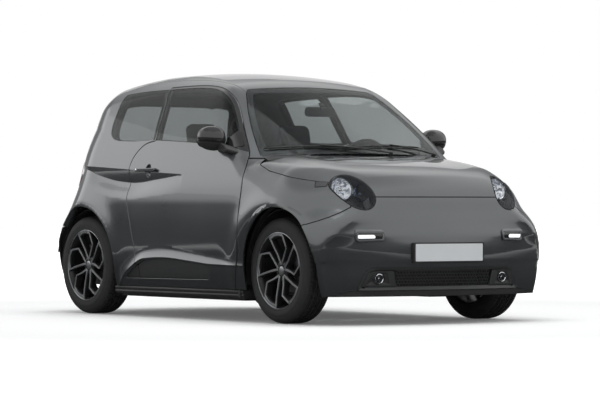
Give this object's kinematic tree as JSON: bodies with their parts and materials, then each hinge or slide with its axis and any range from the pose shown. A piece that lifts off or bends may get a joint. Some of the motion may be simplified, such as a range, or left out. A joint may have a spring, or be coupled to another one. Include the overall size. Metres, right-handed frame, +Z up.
{
  "type": "hatchback",
  "caption": "Small three-door electric hatchback with opening doors, tailgate and bonnet, steered front wheels and a furnished hollow cabin",
  "frame": {"origin": "on the ground under the middle of the car's bounding box", "axes": "+X forward, +Y to the car's left, +Z up"},
  "size_m": [3.354, 1.8772, 1.549],
  "materials": {
    "paint": "dark grey metallic clearcoat",
    "black_gloss": "gloss black",
    "black_plastic": "grained black",
    "glass": "clear, lightly tinted",
    "lamp": "clear lens over a bright reflector",
    "red_lamp": "red lens",
    "tyre": "matt black",
    "alloy": "machined and grey painted",
    "steel": "dark coated steel",
    "cabin_plastic": "soft grained",
    "cloth": "woven cloth",
    "battery": "grey coated case"
  },
  "bodies": {
    "body": {"battery_pack": "battery", "body_side_left": "paint", "body_side_right": "paint", "cabin_mirror": "cabin_plastic", "cowl_panel": "black_plastic", "dashboard": "cabin_plastic", "drive_unit": "steel", "fender_left": "paint", "fender_right": "paint", "floor_pan": "black_plastic", "front_bumper": "paint", "front_grille": "black_plastic", "front_subframe": "steel", "headlamp_left": "lamp", "headlamp_right": "lamp", "quarter_glass_left": "glass", "quarter_glass_right": "glass", "rear_axle": "steel", "rear_bench": "cloth", "rear_bumper": "paint", "roof_panel": "paint", "seat_left": "cloth", "seat_right": "cloth", "tail_lamp_left": "red_lamp", "tail_lamp_right": "red_lamp", "windscreen": "glass"},
    "door_left": {"door_left": "paint", "door_glass_left": "glass", "mirror_left": "black_gloss"},
    "door_right": {"door_right": "paint", "door_glass_right": "glass", "mirror_right": "black_gloss"},
    "tailgate": {"tailgate": "paint", "rear_glass": "glass"},
    "bonnet": {"bonnet": "paint"},
    "knuckle_left": {"knuckle_left": "steel"},
    "knuckle_right": {"knuckle_right": "steel"},
    "wheel_fl": {"wheel_fl": "alloy", "tyre_fl": "tyre"},
    "wheel_fr": {"wheel_fr": "alloy", "tyre_fr": "tyre"},
    "wheel_rl": {"wheel_rl": "alloy", "tyre_rl": "tyre"},
    "wheel_rr": {"wheel_rr": "alloy", "tyre_rr": "tyre"},
    "steering_wheel": {"steering_wheel": "cabin_plastic"}
  },
  "joints": [
    {"name": "door_left_hinge", "type": "hinge", "parent": "body", "child": "door_left", "pos_m": [0.676, 0.858, 0.6], "axis": [0, 0, -1], "range_deg": [0, 65]},
    {"name": "door_right_hinge", "type": "hinge", "parent": "body", "child": "door_right", "pos_m": [0.676, -0.858, 0.6], "axis": [0, 0, 1], "range_deg": [0, 65]},
    {"name": "tailgate_hinge", "type": "hinge", "parent": "body", "child": "tailgate", "pos_m": [-1.15, 0, 1.475], "axis": [0, 1, 0], "range_deg": [0, 75]},
    {"name": "bonnet_hinge", "type": "hinge", "parent": "body", "child": "bonnet", "pos_m": [0.8, 0, 0.985], "axis": [0, -1, 0], "range_deg": [0, 55]},
    {"name": "steer_left", "type": "hinge", "parent": "body", "child": "knuckle_left", "pos_m": [1.0625, 0.645, 0.2], "axis": [0, -0.1882, 0.9821], "range_deg": [-32, 32]},
    {"name": "steer_right", "type": "hinge", "parent": "body", "child": "knuckle_right", "pos_m": [1.0625, -0.645, 0.2], "axis": [0, 0.1882, 0.9821], "range_deg": [-32, 32]},
    {"name": "steering_wheel_turn", "type": "hinge", "parent": "body", "child": "steering_wheel", "pos_m": [0.285, 0.36, 0.945], "axis": [-0.9063, 0, 0.4226], "range_deg": [-460, 460]},
    {"name": "wheel_fl_spin", "type": "hinge", "parent": "knuckle_left", "child": "wheel_fl", "pos_m": [1.0625, 0.7135, 0.3154], "axis": [0, 1, 0], "continuous": true},
    {"name": "wheel_fr_spin", "type": "hinge", "parent": "knuckle_right", "child": "wheel_fr", "pos_m": [1.0625, -0.7135, 0.3154], "axis": [0, 1, 0], "continuous": true},
    {"name": "wheel_rl_spin", "type": "hinge", "parent": "body", "child": "wheel_rl", "pos_m": [-1.1375, 0.7135, 0.3154], "axis": [0, 1, 0], "continuous": true},
    {"name": "wheel_rr_spin", "type": "hinge", "parent": "body", "child": "wheel_rr", "pos_m": [-1.1375, -0.7135, 0.3154], "axis": [0, 1, 0], "continuous": true}
  ],
  "couplings": [
    {"joint": "steer_right", "follows": "steer_left", "ratio": 1},
    {"joint": "steering_wheel_turn", "follows": "steer_left", "ratio": 14}
  ]
}
